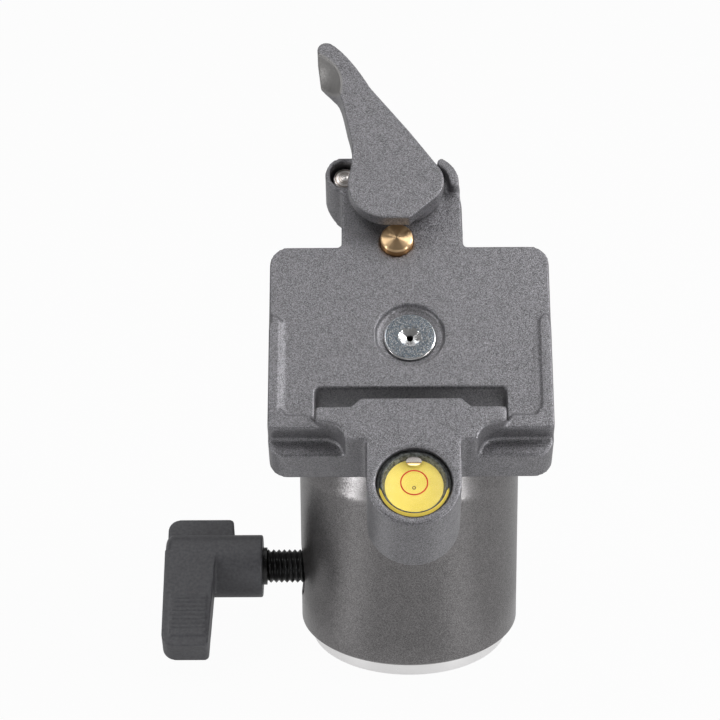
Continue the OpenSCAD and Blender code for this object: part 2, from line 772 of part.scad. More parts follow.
// Air bubble, risen to the high side of the tipped vial
module air_bubble() {
    color([0.7, 0.7, 0.68]) on_deck()
        translate([level_x, -level_front + dial_r - bubble_r - 0.3, lens_top - lens_t - bubble_t - run_gap])
            cylinder(r1 = bubble_r - 0.2, r2 = bubble_r, h = bubble_t);
}

// ---- clamp ----

// Plan of the lever: cam hub in front, arm running back to the thumb end.
// Its points are drawn about the pivot for the reach named drawn, and scaled to the reach asked for
function lever_plan() = let (drawn = 33.6, s = lever_reach / drawn) [for (p = concat(
    arc(-3.4, -2.3, 9, 176, 270, 14),
    arc(0.8, -10.1, 1.2, 270, 315, 4),
    arc(2.9, -1.6, 6.15, -53, 40, 12),
    [[1.5, 11.3]],
    curve([-7.4, 23.3], [-9.8, 28], [-13.3, 33.3], [-16.4, 35.4], 8),
    arc(-17.4, 33.6, 2, 70, 180, 6),
    arc(-17.5, 27.4, 1.2, 180, 225, 4),
    curve([-15, 22.8], [-13.8, 21.4], [-13.3, 17.5], [-12.5, 13.6], 6),
    curve([-12.1, 12], [-11.4, 9.2], [-11.2, 7], [-11.6, 3], 4))) [pivot_x, pivot_y] + s * p];

// Clamp lever: a flat teardrop whose hub edge is the cam
module lever() {
    color(paint) on_deck() difference() {
        union() {
            translate([0, 0, cam_under]) linear_extrude(height = lever_top - cam_under)
                polygon(lever_plan());
            translate([0, 0, lever_under]) linear_extrude(height = lever_top - lever_under - 0.5)
                intersection() {
                    polygon(lever_plan());
                    union() {
                        translate([pivot_x, pivot_y]) circle(r = cam_boss_r);
                        translate([-cut, pivot_y + 3]) square([2 * cut, cut]);
                    }
                }
        }
        // shaft seat
        translate([pivot_x, pivot_y, -1]) cylinder(r = shaft_r + run_gap, h = lever_top - 1.2 + 1);
        // thumb scoop at the end of the arm
        translate([pivot_x - scoop_r - 14, pivot_y + scoop_r + 15.2, lever_top + 1.9]) sphere(r = scoop_r);
    }
}

// Steel shaft pressed into the lever and running in the neck
module lever_shaft() {
    color(steel) on_deck() translate([pivot_x, pivot_y, 0]) difference() {
        translate([0, 0, -shaft_end]) cylinder(r = shaft_r, h = shaft_end + lever_top - 1.3);
        tube(shaft_r + 1, shaft_r - 0.6, clip_z - run_gap, clip_z + clip_t + run_gap);
    }
}

// Spring clip in the shaft's groove
module shaft_clip() {
    color(steel) on_deck() translate([pivot_x, pivot_y, 0]) difference() {
        tube(shaft_r + 1.8, shaft_r - 0.5, clip_z, clip_z + clip_t);
        translate([-1.8, 0, -deck_t]) cube([3.6, 10, 6]);
    }
}

// Torsion spring of the lever, round the post under the neck
module lever_spring() {
    color(steel) on_deck() translate([pivot_x, pivot_y, 0])
        turns(lever_post_r + spring_wire / 2 + 0.1, spring_wire,
              -lever_post_end + 0.4, -neck_skin - 0.7, 5);
}

// Brass plunger that the camera plate presses down
module plunger() {
    stem_end = -guide_end - face_gap - plunger_clip_t - 0.5;
    color(brass) on_deck() translate([plunger_x, plunger_y, 0]) difference() {
        rotate_extrude() polygon([
            [0, plunger_h], [plunger_r - 0.4, plunger_h], [plunger_r, plunger_h - 0.4],
            [plunger_r, shoulder_z], [stem_r, shoulder_z], [stem_r, stem_end], [0, stem_end]]);
        tube(stem_r + 1, stem_r - 0.4,
             -guide_end - face_gap - plunger_clip_t - run_gap, -guide_end - face_gap + run_gap);
    }
}

// Coil spring under the plunger
module plunger_spring() {
    color(steel) on_deck() translate([plunger_x, plunger_y, 0])
        turns(stem_r + 0.75, 0.55, run_gap - guide_depth, shoulder_z - run_gap, 5);
}

// Clip that stops the plunger's stem
module plunger_clip() {
    color(steel) on_deck() translate([plunger_x, plunger_y, 0]) difference() {
        tube(stem_r + 1.1, stem_r - 0.35,
             -guide_end - face_gap - plunger_clip_t, -guide_end - face_gap);
        translate([-1.1, 0, -deck_t]) cube([2.2, 10, 6]);
    }
}

// Steel detent pin in the latch boss
module detent_pin() {
    color(steel) on_deck() translate([boss_x, boss_y, 0]) rotate_extrude() polygon([
        [0, -pin_drop], [pin_r - 0.7, -pin_drop], [pin_r, -pin_drop - 0.7],
        [pin_r, -pin_drop - pin_len], [0, -pin_drop - pin_len]]);
}

// Coil spring under the detent pin
module detent_spring() {
    color(steel) on_deck() translate([boss_x, boss_y, 0])
        turns(1.7, 0.5, run_gap - pin_bore, -pin_drop - pin_len - run_gap, 5);
}

base_plate();
pan_retainer();
retainer_screws();
pan_washer();
bearing_ring();
housing();
upper_seat();
core_block();
stud_bush();
thrust_wedge();
lift_piston();
disc_springs();
lower_cup();
lock_stud();
knob_insert();
knob();
ball_stem();
slip_washer();
centre_screw();
platform();
vial_cup();
level_dial();
level_ring();
level_lens();
air_bubble();
lever();
lever_shaft();
shaft_clip();
lever_spring();
plunger();
plunger_spring();
plunger_clip();
detent_pin();
detent_spring();
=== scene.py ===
# %% [markdown]
# # A tripod ball head, dressed for the camera
# The solids of this object were built first, in a CAD program, and every one of them is
# loaded here as a fixed frame. This notebook gives them their looks. Each step first says
# what a piece is on the real thing, how it could be made, and why one way was chosen.
# Lengths are in millimetres in our own sums, because that is how such a part is drawn,
# and in metres in Blender, because that is what its lamps and lenses expect.

# %% Load the frame
import json
import math

import bmesh
import bpy
import numpy as np
from mathutils import Matrix, Vector

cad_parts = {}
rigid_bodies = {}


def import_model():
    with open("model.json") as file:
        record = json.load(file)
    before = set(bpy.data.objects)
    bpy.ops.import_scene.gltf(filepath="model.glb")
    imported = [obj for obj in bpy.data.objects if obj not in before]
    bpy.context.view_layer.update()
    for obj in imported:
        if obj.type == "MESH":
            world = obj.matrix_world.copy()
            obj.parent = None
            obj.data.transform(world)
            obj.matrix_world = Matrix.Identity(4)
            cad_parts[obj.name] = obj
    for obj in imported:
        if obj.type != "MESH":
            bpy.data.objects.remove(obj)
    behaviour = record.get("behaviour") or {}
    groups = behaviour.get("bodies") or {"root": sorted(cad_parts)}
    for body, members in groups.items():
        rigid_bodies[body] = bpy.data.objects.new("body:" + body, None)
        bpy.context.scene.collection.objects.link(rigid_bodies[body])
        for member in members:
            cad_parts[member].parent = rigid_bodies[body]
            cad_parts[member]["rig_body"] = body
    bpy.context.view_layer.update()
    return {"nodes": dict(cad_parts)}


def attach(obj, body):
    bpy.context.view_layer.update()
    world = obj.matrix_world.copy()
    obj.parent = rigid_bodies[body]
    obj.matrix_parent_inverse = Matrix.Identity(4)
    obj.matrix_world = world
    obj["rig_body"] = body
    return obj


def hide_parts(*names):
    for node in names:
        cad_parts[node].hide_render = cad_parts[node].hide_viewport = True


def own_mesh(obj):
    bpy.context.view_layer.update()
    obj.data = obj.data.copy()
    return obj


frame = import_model()
MM = 0.001

# %% [markdown]
# ## Where things sit
# A point is easiest to state where it is made: the spirit level on the deck, the thread
# along its own axis. A 4 by 4 matrix then carries it to its place on the object. The head
# is tipped forward by 37 degrees about the ball's centre, and the lock stud points to the
# left, so two short chains of shifts and turns give every place that is needed.

# %% Shifts and turns
def shift(x, y, z):
    """Matrix that adds x, y and z to a point."""
    matrix = np.eye(4)
    matrix[:3, 3] = (x, y, z)
    return matrix


def turn(axis, degrees):
    """Matrix that turns a point about one axis: the other two mix by cosine and sine."""
    c, s = math.cos(math.radians(degrees)), math.sin(math.radians(degrees))
    i, j = {"x": (1, 2), "y": (2, 0), "z": (0, 1)}[axis]
    matrix = np.eye(4)
    matrix[i, i] = matrix[j, j] = c
    matrix[i, j], matrix[j, i] = -s, s
    return matrix


BALL_HEIGHT, HEAD_TILT, DECK_RISE = 54.6, 37.0, 40.8
STUD_HEIGHT, KNOB_TURN = 16.5, 30.0
UPRIGHT = np.eye(4)
BALL = shift(0, 0, BALL_HEIGHT) @ turn("x", HEAD_TILT)
DECK = BALL @ shift(0, 0, DECK_RISE)
STUD = shift(0, 0, STUD_HEIGHT) @ turn("y", -90)
KNOB = shift(0, 0, STUD_HEIGHT) @ turn("x", KNOB_TURN) @ turn("z", 180)
LEVEL = DECK @ shift(0.5, -38.1, 0)
PLUNGER = DECK @ shift(-2.75, 23.6, 0)
LATCH = DECK @ shift(-14.3, 41.4, 0)
PIVOT = DECK @ shift(-1.2, 37, 0)
print("deck centre in mm:", np.round(DECK[:3, 3], 2))

# %% [markdown]
# ## One way to make round pieces
# Nearly every small piece here is turned on a lathe. A modeller could spin a profile with
# a modifier, but a grid of rings is clearer: ring i has a radius and a height, and going
# round it gives its points. A radius that also depends on the angle turns the same grid
# into a screw thread or a hexagon socket, so one function serves them all.

# %% A grid of rings
def rings(profile, steps=96, reshape=None, closed=False):
    """Surface of revolution: point = (r cos a, r sin a, h) for each profile point (r, h)
    and angle a. reshape(r, h, a) may bend whole arrays of radii and heights first.
    closed joins the last ring to the first, for a section that is a loop."""
    profile = np.asarray(profile, float)
    angle = np.linspace(0, 2 * np.pi, steps, endpoint=False)
    r = np.repeat(profile[:, :1], steps, axis=1)
    h = np.repeat(profile[:, 1:], steps, axis=1)
    a = np.repeat(angle[None, :], len(profile), axis=0)
    if reshape is not None:
        r, h = reshape(r, h, a)
    points = np.stack([r * np.cos(a), r * np.sin(a), h], axis=-1).reshape(-1, 3)
    count = len(profile)
    i, j = np.meshgrid(np.arange(count if closed else count - 1), np.arange(steps), indexing="ij")
    below, along = (i + 1) % count, (j + 1) % steps
    faces = np.stack([i * steps + j, i * steps + along, below * steps + along, below * steps + j], -1)
    return points, faces.reshape(-1, 4)


print("a grid of 3 rings has", len(rings([[0, 0], [1, 0], [1, 1]])[1]), "faces")

# %% [markdown]
# Tools and moulds leave no sharp corner, and a small radius catches a line of light. A
# Bevel modifier would round every edge alike. Here each corner of a profile gets its own
# radius before the profile is spun, so one list of corners and radii draws the piece.

# %% Rounded corners
def rounded(corners, radius, steps=5):
    """Profile with its inner corners rounded: each corner is left at a distance of radius
    times the tangent of half its turn, and an arc of that radius joins the two ends."""
    corners = np.asarray(corners, float)
    radius = np.broadcast_to(radius, len(corners))
    made = [corners[:1]]
    for before, corner, after, r in zip(corners, corners[1:], corners[2:], radius[1:]):
        a, b = before - corner, after - corner
        la, lb = np.linalg.norm(a), np.linalg.norm(b)
        a, b = a / la, b / lb
        half = math.acos(np.clip(a @ b, -1, 1)) / 2
        if r <= 0 or half < 1e-3 or half > np.pi / 2 - 1e-3:
            made.append(corner[None])
            continue
        leave = min(r / math.tan(half), 0.49 * la, 0.49 * lb)
        true_r = leave * math.tan(half)
        centre = corner + (a + b) / np.linalg.norm(a + b) * true_r / math.sin(half)
        p, q = corner + a * leave - centre, corner + b * leave - centre
        sweep = math.acos(np.clip(p @ q / true_r**2, -1, 1))
        t = np.linspace(0, 1, steps + 1)[:, None]
        made.append(centre + (np.sin((1 - t) * sweep) * p + np.sin(t * sweep) * q) / math.sin(sweep))
    made.append(corners[-1:])
    return np.concatenate(made)


print("a rounded corner has", len(rounded([[0, 0], [5, 0], [5, 5]], 1.0)) - 2, "points")

# %% [markdown]
# Every piece then goes the same way from its arrays to Blender. Where the first and last
# ring shrink to one point, their points are merged, which closes the pole.

# %% From arrays to a Blender piece
MERGE_WITHIN = 1e-7


def add_piece(name, surface, place, body, finish, stands_for=(), crease=35.0):
    """Points are carried by the matrix place, merged where they meet, and their faces turned
    outwards. Edges that bend by more than crease degrees stay sharp, others look smooth."""
    points, faces = surface
    points = (np.c_[points, np.ones(len(points))] @ place.T)[:, :3] * MM
    mesh = bpy.data.meshes.new(name)
    mesh.from_pydata(points.tolist(), [], np.asarray(faces).tolist())
    solid = bmesh.new()
    solid.from_mesh(mesh)
    bmesh.ops.remove_doubles(solid, verts=solid.verts, dist=MERGE_WITHIN)
    bmesh.ops.recalc_face_normals(solid, faces=solid.faces)
    solid.to_mesh(mesh)
    solid.free()
    mesh.shade_smooth()
    mesh.set_sharp_from_angle(angle=math.radians(crease))
    mesh.materials.append(finish)
    piece = bpy.data.objects.new(name, mesh)
    bpy.context.scene.collection.objects.link(piece)
    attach(piece, body)
    if stands_for:
        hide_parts(*stands_for)
    print(f"{name}: {len(mesh.polygons)} faces")
    return piece


# %% [markdown]
# ## Finishes
# A painted die casting is not one grey. The powder paint holds fine metal flakes, and each
# flake lies at its own angle, so the colour changes from grain to grain. A picture of the
# speckle could be wrapped round the part, but it would need seams. Each finish below is a
# small node tree instead: a pattern in the object's own coordinates drives colour,
# roughness and bump, so it has no seam and stays on the piece when it moves.

# %% Adding nodes
def node_maker(tree):
    """Short way to add a node. Keywords set its values or settings. Each feed is a pair of
    a source and the input it goes to: a socket is linked, a number or a vector is set."""
    def add(kind, feeds=(), **values):
        node = tree.nodes.new("ShaderNode" + kind)
        for key, value in values.items():
            if key in node.inputs:
                node.inputs[key].default_value = value
            else:
                setattr(node, key, value)
        for source, target in feeds:
            if isinstance(source, bpy.types.NodeSocket):
                tree.links.new(source, node.inputs[target])
            else:
                node.inputs[target].default_value = source
        return node
    return add


def node_of(tree, kind):
    """The node of one kind that Blender itself puts into a new tree."""
    return next(n for n in tree.nodes if n.type == kind)


def new_finish(name):
    """Material with its Principled shader and a node maker for its tree."""
    material = bpy.data.materials.new(name)
    material.use_nodes = True
    tree = material.node_tree
    return material, tree, node_of(tree, "BSDF_PRINCIPLED"), node_maker(tree)


# %% [markdown]
# A pattern is a sum. A noise or a distance goes in, and a colour or a height comes out. The
# helpers below add one step of such a sum each, so that a finish reads like its formula.
# Noise in object coordinates counts its grains per metre.

# %% Steps of a pattern
def calc(add, operation, *terms):
    """Value of a Math node on one or two terms, each a socket or a number."""
    return add("Math", [(term, i) for i, term in enumerate(terms)], operation=operation).outputs["Value"]


def vector_calc(add, operation, *terms):
    """Result of a Vector Math node: a value for a length or a dot product, else a vector."""
    node = add("VectorMath", [(term, i) for i, term in enumerate(terms)], operation=operation)
    return node.outputs["Value" if operation in ("LENGTH", "DOT_PRODUCT") else "Vector"]


def mapped(add, source, low, high, to_low=0.0, to_high=1.0, **settings):
    """Value that runs from to_low to to_high while the source runs from low to high."""
    feeds = [(low, "From Min"), (high, "From Max"), (to_low, "To Min"), (to_high, "To Max")]
    return add("MapRange", [(source, "Value"), *feeds], **settings).outputs["Result"]


def blend(add, factor, first, second):
    """Colour between first, at factor 0, and second, at factor 1. A Mix node has sockets
    for each kind of data, and a colour's are inputs 6 and 7 and output 2."""
    return add("Mix", [(factor, "Factor"), (first, 6), (second, 7)], data_type="RGBA").outputs[2]


# %% Points, noise, colour and bump
def from_centre(add, place):
    """Vector from the origin of a place to the shaded point, in the object's coordinates."""
    return vector_calc(add, "SUBTRACT", add("TexCoord").outputs["Object"], place[:3, 3] * MM)


def noise(add, scale, detail=2.0, roughness=0.5):
    """Soft noise between 0 and 1, with scale grains per metre."""
    where = add("TexCoord").outputs["Object"]
    node = add("TexNoise", [(where, "Vector")], Scale=scale, Detail=detail, Roughness=roughness)
    return node.outputs["Fac"]


def ramp(add, source, low, high, low_at=0.35, high_at=0.65):
    """Colour from low to high while the source runs from low_at to high_at."""
    node = add("ValToRGB", [(source, "Fac")])
    stops = node.color_ramp.elements
    stops[0].position, stops[0].color = low_at, low
    stops[1].position, stops[1].color = high_at, high
    return node.outputs["Color"]


def bump(add, tree, shader, height, distance, strength=1.0):
    """Feeds a height, in metres times distance, into the shader's normal."""
    node = add("Bump", [(height, "Height")], Strength=strength, Distance=distance)
    tree.links.new(node.outputs["Normal"], shader.inputs["Normal"])


def rgba(red, green, blue):
    """Opaque colour of three linear levels."""
    return (red, green, blue, 1.0)


# %% [markdown]
# The paint itself: a Voronoi pattern cuts space into cells an eighth of a millimetre wide,
# and each cell is one flake, with its own grey and its own tilt. The turned body carries
# the same paint over a smoother skin, so it has less speckle and more gloss.

# %% Speckled paint of the castings
FLAKES_PER_METRE, MOTTLE_SCALE, MOTTLE_SHARE = 8000, 420, 0.2


def speckled_paint(name, dark, light, metallic=0.6, roughness=0.45, tilt=0.25):
    """Each cell of a Voronoi pattern is one flake: its random number picks a grey between two
    levels, and its random vector, less one half, tilts the normal by up to tilt."""
    material, tree, shader, add = new_finish(name)
    where = add("TexCoord").outputs["Object"]
    flake = add("TexVoronoi", [(where, "Vector")], Scale=FLAKES_PER_METRE).outputs["Color"]
    number = add("SeparateColor", [(flake, "Color")]).outputs["Red"]
    mottle = noise(add, MOTTLE_SCALE)
    level = add("Mix", [(MOTTLE_SHARE, "Factor"), (number, "A"), (mottle, "B")], data_type="FLOAT")
    colour = ramp(add, level.outputs["Result"], dark, light, 0.1, 0.9)
    tree.links.new(colour, shader.inputs["Base Color"])
    centred = vector_calc(add, "SUBTRACT", flake, (0.5, 0.5, 0.5))
    scaled = add("VectorMath", [(centred, 0)], operation="SCALE", Scale=tilt).outputs["Vector"]
    leaning = vector_calc(add, "ADD", add("NewGeometry").outputs["Normal"], scaled)
    tree.links.new(vector_calc(add, "NORMALIZE", leaning), shader.inputs["Normal"])
    shader.inputs["Metallic"].default_value = metallic
    shader.inputs["Roughness"].default_value = roughness
    return material, tree, shader, add


DARK_FLAKE, LIGHT_FLAKE = rgba(0.093, 0.092, 0.097), rgba(0.385, 0.379, 0.401)
DARK_SKIN, LIGHT_SKIN = rgba(0.118, 0.114, 0.115), rgba(0.30, 0.291, 0.293)
paint = speckled_paint("speckled_paint", DARK_FLAKE, LIGHT_FLAKE)[0]
body_paint = speckled_paint("body_paint", DARK_SKIN, LIGHT_SKIN, 0.85, 0.3, tilt=0.12)[0]
print("paint:", len(paint.node_tree.nodes), "nodes")

# %% [markdown]
# The scoop at the lever's end gets a plain grey, a little warmer than the flakes around it.
# The scoop is a piece of a sphere, so every point nearer to that sphere's centre than its
# radius, with a little to spare, gets that grey.

# %% Paint with a grey scoop
SCOOP_R, SCOOP_SPARE, GREY_EDGE, GREY_SHARE = 9.0, 0.3, 0.5, 0.9
SCOOP = PIVOT @ shift(-SCOOP_R - 14, SCOOP_R + 15.2, 8.9)


def scoop_grey_paint(name, place, radius, colour):
    """Speckled paint mixed with a plain colour where |p - centre| is under the radius."""
    material, tree, shader, add = speckled_paint(name, DARK_FLAKE, LIGHT_FLAKE)
    away = vector_calc(add, "LENGTH", from_centre(add, place))
    # worn is the share of the scoop's plain grey: GREY_SHARE inside the sphere, none past its edge
    worn = mapped(add, away, radius * MM, (radius + GREY_EDGE) * MM, GREY_SHARE, 0.0)
    flakes = shader.inputs["Base Color"].links[0].from_socket
    tree.links.new(blend(add, worn, flakes, colour), shader.inputs["Base Color"])
    return material


lever_paint = scoop_grey_paint("scoop_grey_paint", SCOOP, SCOOP_R + SCOOP_SPARE, rgba(0.30, 0.292, 0.286))
print("scoop centre in mm:", np.round(SCOOP[:3, 3], 1))

# %% [markdown]
# ## Metals
# A metal has no colour of its own but tints what it mirrors, so its finish is one colour
# and a roughness. A steady roughness looks like plastic film: a fine noise lets it drift.

# %% Plain metals
def plain_metal(name, colour, roughness, grain_scale=900, grain=0.06):
    """Metal of one colour whose roughness drifts a little with a fine noise."""
    material, tree, shader, add = new_finish(name)
    shader.inputs["Base Color"].default_value = rgba(*colour)
    shader.inputs["Metallic"].default_value = 1.0
    drift = mapped(add, noise(add, grain_scale, 3.0), 0.0, 1.0, roughness - grain, roughness + grain)
    tree.links.new(drift, shader.inputs["Roughness"])
    return material, tree, shader, add


steel = plain_metal("steel", (0.55, 0.56, 0.58), 0.32)[0]
dull_aluminium = plain_metal("dull_aluminium", (0.72, 0.72, 0.73), 0.38)[0]
ball_metal = plain_metal("ball_metal", (0.62, 0.62, 0.64), 0.24)[0]
print("metals: steel, aluminium and the ball")

# %% [markdown]
# A real turned face is never a mirror: the tool leaves rings, and they spread a lamp's
# reflection into a bow tie. Modelling every ring would take far too many faces, so the
# finish does it. Its highlight is stretched across the rings, and the vector that says
# which way the rings run is worked out from the lathe's axis.

# %% Turned metals
RING_NOISE = 2500.0


def turned_metal(name, colour, roughness, place, spread=0.75, pitch=0.35, depth=0.002,
                 dull=None, dull_below=None, streak=(0.42, 0.5)):
    """Metal with the tool marks of a lathe, pitch and depth in mm. The marks run along the
    axis crossed with the vector from the centre; reflections spread across them, and a
    sine of the distance from the axis makes the rings that the eye can count. Streaks have
    the colour dull as the metal's own dull tone, and from dull_below mm along
    the axis downwards the sides have it as painted shade."""
    material, tree, shader, add = plain_metal(name, colour, roughness)
    arm, axis = from_centre(add, place), place[:3, 2]
    along = vector_calc(add, "CROSS_PRODUCT", axis, arm)
    turned = add("VectorTransform", [(along, "Vector")], vector_type="VECTOR",
                 convert_from="OBJECT", convert_to="WORLD")
    tree.links.new(turned.outputs["Vector"], shader.inputs["Tangent"])
    shader.inputs["Anisotropic"].default_value = spread
    shader.inputs["Anisotropic Rotation"].default_value = 0.25
    far = vector_calc(add, "LENGTH", along)
    wave = calc(add, "SINE", calc(add, "MULTIPLY", far, 2 * math.pi / (pitch * MM)))
    uneven = add("TexNoise", [(far, "W")], noise_dimensions="1D", Scale=RING_NOISE).outputs["Fac"]
    bump(add, tree, shader, calc(add, "MULTIPLY", wave, uneven), depth * MM)
    if dull:
        streaks = ramp(add, uneven, rgba(*dull), rgba(*colour), *streak)
        # painted shade: below dull_below the sides take the dark colour
        side = calc(add, "LESS_THAN", vector_calc(add, "DOT_PRODUCT", arm, axis), dull_below * MM)
        tree.links.new(blend(add, side, streaks, rgba(*dull)), shader.inputs["Base Color"])
    return material


base_metal = turned_metal("turned_base", (0.93, 0.92, 0.92), 0.3, UPRIGHT, 0.5, depth=0.0004)
# The brass's sides get a dark brown of painted shade.
brass = turned_metal("turned_brass", (1.0, 0.70, 0.40), 0.37, PLUNGER, 0.93, 0.35, 0.001,
                     dull=(0.50, 0.28, 0.13), dull_below=1.35, streak=(0.0, 0.3))
worn_steel = turned_metal("worn_steel", (1.0, 0.95, 0.92), 0.34, LATCH, 0.85, 0.5, 0.04,
                          dull=(0.40, 0.34, 0.30), dull_below=-9)
print("turned: base, brass and the worn pin")

# %% [markdown]
# The screw is zinc plated, and such a coat is never even. Its face wears a steel-blue film
# with bright specks, while rim and socket are bare. A painted map could show that, but the
# distance from the screw's axis is enough to say where the film begins and ends.

# %% Zinc of the screw
ZINC, FILM = rgba(0.93, 0.93, 0.93), rgba(0.43, 0.515, 0.61)
BRIGHT_SPECK, SOCKET_SHADE = rgba(1.0, 1.0, 1.0), rgba(0.05, 0.045, 0.04)
FILM_FROM, FILM_TO, RAGGED, INNER_BLUR, OUTER_BLUR = 2.35, 5.45, 0.8, 0.1, 0.05
SHADE_R, SHADE_BLUR = 0.55, 0.25
GRAINS_PER_METRE, CRYSTALS_PER_METRE, PATCHES_PER_METRE = 2500, 3600, 900


def zinc_plate(name, place):
    """Bright zinc with a film between two radii, in mm. The distance from the axis is
    |axis x (p - centre)|, and a noise moves the film's inner border by up to RAGGED. The
    drill point in the middle is painted dark, as painted shade at the bottom of the socket."""
    material, tree, shader, add = plain_metal(name, ZINC[:3], 0.22, GRAINS_PER_METRE, 0.05)
    crystals = noise(add, CRYSTALS_PER_METRE, 2.0, 0.7)
    film = ramp(add, crystals, FILM, BRIGHT_SPECK, 0.44, 0.62)
    across = vector_calc(add, "CROSS_PRODUCT", place[:3, 2], from_centre(add, place))
    far = vector_calc(add, "LENGTH", across)
    patches = noise(add, PATCHES_PER_METRE, 3.0, 0.6)
    moved = calc(add, "ADD", far, mapped(add, patches, 0.0, 1.0, -RAGGED * MM, RAGGED * MM))
    begun = mapped(add, moved, (FILM_FROM - INNER_BLUR) * MM, (FILM_FROM + INNER_BLUR) * MM)
    not_ended = mapped(add, far, (FILM_TO + OUTER_BLUR) * MM, (FILM_TO - OUTER_BLUR) * MM)
    coat = blend(add, calc(add, "MULTIPLY", begun, not_ended), ZINC, film)
    # painted shade: the socket's bottom, round the drill point, is dark
    clear_of_shade = mapped(add, far, SHADE_R * MM, (SHADE_R + SHADE_BLUR) * MM)
    tree.links.new(blend(add, clear_of_shade, SOCKET_SHADE, coat), shader.inputs["Base Color"])
    bump(add, tree, shader, crystals, 0.00003, 0.5)
    return material


zinc = zinc_plate("zinc_plate", DECK)
print("film on the screw from", FILM_FROM, "to", FILM_TO, "mm")

# %% [markdown]
# ## Plastics
# A moulded plastic copies the fine eroded grain of its mould. Real dents would be too small
# to model, so one noise gives both the colour's drift and a bump a few hundredths of a
# millimetre high. The level's yellow edge sits in the shade of its pocket. Dyed clear plastic
# does shine a little where light leaves it, and here that shine is painted light: that finish
# gives off a little light of its own.

# %% Moulded plastics
def plastic(name, dark, light, roughness, scale=1400, height=0.00003):
    """Moulded plastic: a spark-eroded grain in colour and bump."""
    material, tree, shader, add = new_finish(name)
    grain = noise(add, scale, 3.0, 0.6)
    tree.links.new(ramp(add, grain, rgba(*dark), rgba(*light)), shader.inputs["Base Color"])
    shader.inputs["Roughness"].default_value = roughness
    bump(add, tree, shader, grain, height, 0.6)
    return material


knob_plastic = plastic("knob_plastic", (0.082, 0.082, 0.089), (0.116, 0.116, 0.125), 0.45)
acetal = plastic("acetal", (0.74, 0.73, 0.68), (0.82, 0.81, 0.76), 0.4)
black_oxide = plastic("black_oxide", (0.006, 0.006, 0.006), (0.014, 0.014, 0.014), 0.35)
vial_black = plastic("vial_black", (0.008, 0.008, 0.007), (0.12, 0.13, 0.125), 0.45, 1500)
vial_yellow = plastic("vial_yellow", (0.62, 0.485, 0.07), (0.66, 0.525, 0.09), 0.4, 300, 0.00001)
# painted light: the yellow edge glows with light of its own, though it is no lamp, to lift it out of its
# pocket's shade
painted_edge_glow = plastic("painted_edge_glow", (0.80, 0.62, 0.10), (0.84, 0.66, 0.13), 0.4, 300, 0.00001)
painted_glow_shader = node_of(painted_edge_glow.node_tree, "BSDF_PRINCIPLED")
painted_glow_shader.inputs["Emission Color"].default_value = rgba(0.80, 0.60, 0.10)
painted_glow_shader.inputs["Emission Strength"].default_value = 0.45
# painted shade: a dark brown that stands for the shade round the dial's small pip
pip_painted_shade = plastic("pip_painted_shade", (0.10, 0.06, 0.01), (0.16, 0.10, 0.02), 0.5)
red_print = plastic("red_print", (0.68, 0.03, 0.015), (0.74, 0.05, 0.02), 0.4)
print(len(bpy.data.materials), "finishes so far")

# %% [markdown]
# The level's window is clear. In a path tracer, light through bent glass would arrive only
# by luck, and the dial below would be dark and grainy. So shadow rays see the window as
# open: they pass straight on, while the camera's rays still bend and mirror.

# %% Clear window
def clear(name, colour, ior):
    """Clear plastic: the camera's rays pass and bend, and shadow rays see it as open, so
    that lamps shine through it onto what lies below."""
    material, tree, shader, add = new_finish(name)
    shader.inputs["Base Color"].default_value = colour
    shader.inputs["Transmission Weight"].default_value = 1.0
    shader.inputs["IOR"].default_value = ior
    shader.inputs["Roughness"].default_value = 0.0
    shadow, opened = add("LightPath").outputs["Is Shadow Ray"], add("BsdfTransparent").outputs["BSDF"]
    mixed = add("MixShader", [(shadow, "Fac"), (shader.outputs["BSDF"], 1), (opened, 2)])
    tree.links.new(mixed.outputs["Shader"], node_of(tree, "OUTPUT_MATERIAL").inputs["Surface"])
    return material


WINDOW_INDEX = 1.3
lens = clear("clear_lens", rgba(0.98, 0.98, 0.95), WINDOW_INDEX)
print("window: clear, with an index of", WINDOW_INDEX)

# %% [markdown]
# The bubble looks grey in its middle, with a pale crescent in front and a thin dark line
# between. Tracing that truly needs a fluid with a skin of its own, for a spot 3 mm wide.
# Bands of colour from front to back paint that light instead: a painted highlight for the
# pale crescent, painted shade for the dark line and the darker back, and a grey middle.

# %% Air bubble's painted light and shade
BUBBLE = LEVEL @ shift(0, 5.45, 2.66)
BUBBLE_ACROSS, BUBBLE_ALONG, BUBBLE_HIGH = 1.7, 1.12, 0.2
PAINTED_BUBBLE_BANDS = [(0.0, rgba(0.85, 0.62, 0.10)), (0.14, rgba(0.92, 0.86, 0.62)), (0.24, rgba(0.80, 0.45, 0.12)),
         (0.33, rgba(0.05, 0.04, 0.03)), (0.42, rgba(0.24, 0.22, 0.22)), (0.85, rgba(0.22, 0.20, 0.20)),
         (1.0, rgba(0.10, 0.095, 0.09))]


def paint_bubble_light(name, place, half_length):
    """Colour by how far the point lies towards the back of the level: (p - centre) . back,
    from minus to plus half_length mm, picks from the bands of painted light and shade."""
    material, tree, shader, add = new_finish(name)
    back = vector_calc(add, "DOT_PRODUCT", from_centre(add, place), place[:3, 1])
    share = mapped(add, back, -half_length * MM, half_length * MM)
    colour = add("ValToRGB", [(share, "Fac")])
    stops = colour.color_ramp.elements
    for stop, (position, band) in zip((stops[0], stops[1]), (PAINTED_BUBBLE_BANDS[0], PAINTED_BUBBLE_BANDS[-1])):
        stop.position, stop.color = position, band
    for position, band in PAINTED_BUBBLE_BANDS[1:-1]:
        stops.new(position).color = band
    tree.links.new(colour.outputs["Color"], shader.inputs["Base Color"])
    shader.inputs["Roughness"].default_value = 0.25
    return material


bubble_painted_light = paint_bubble_light("bubble_painted_light", BUBBLE, BUBBLE_ALONG)
print(len(bpy.data.materials), "finishes")

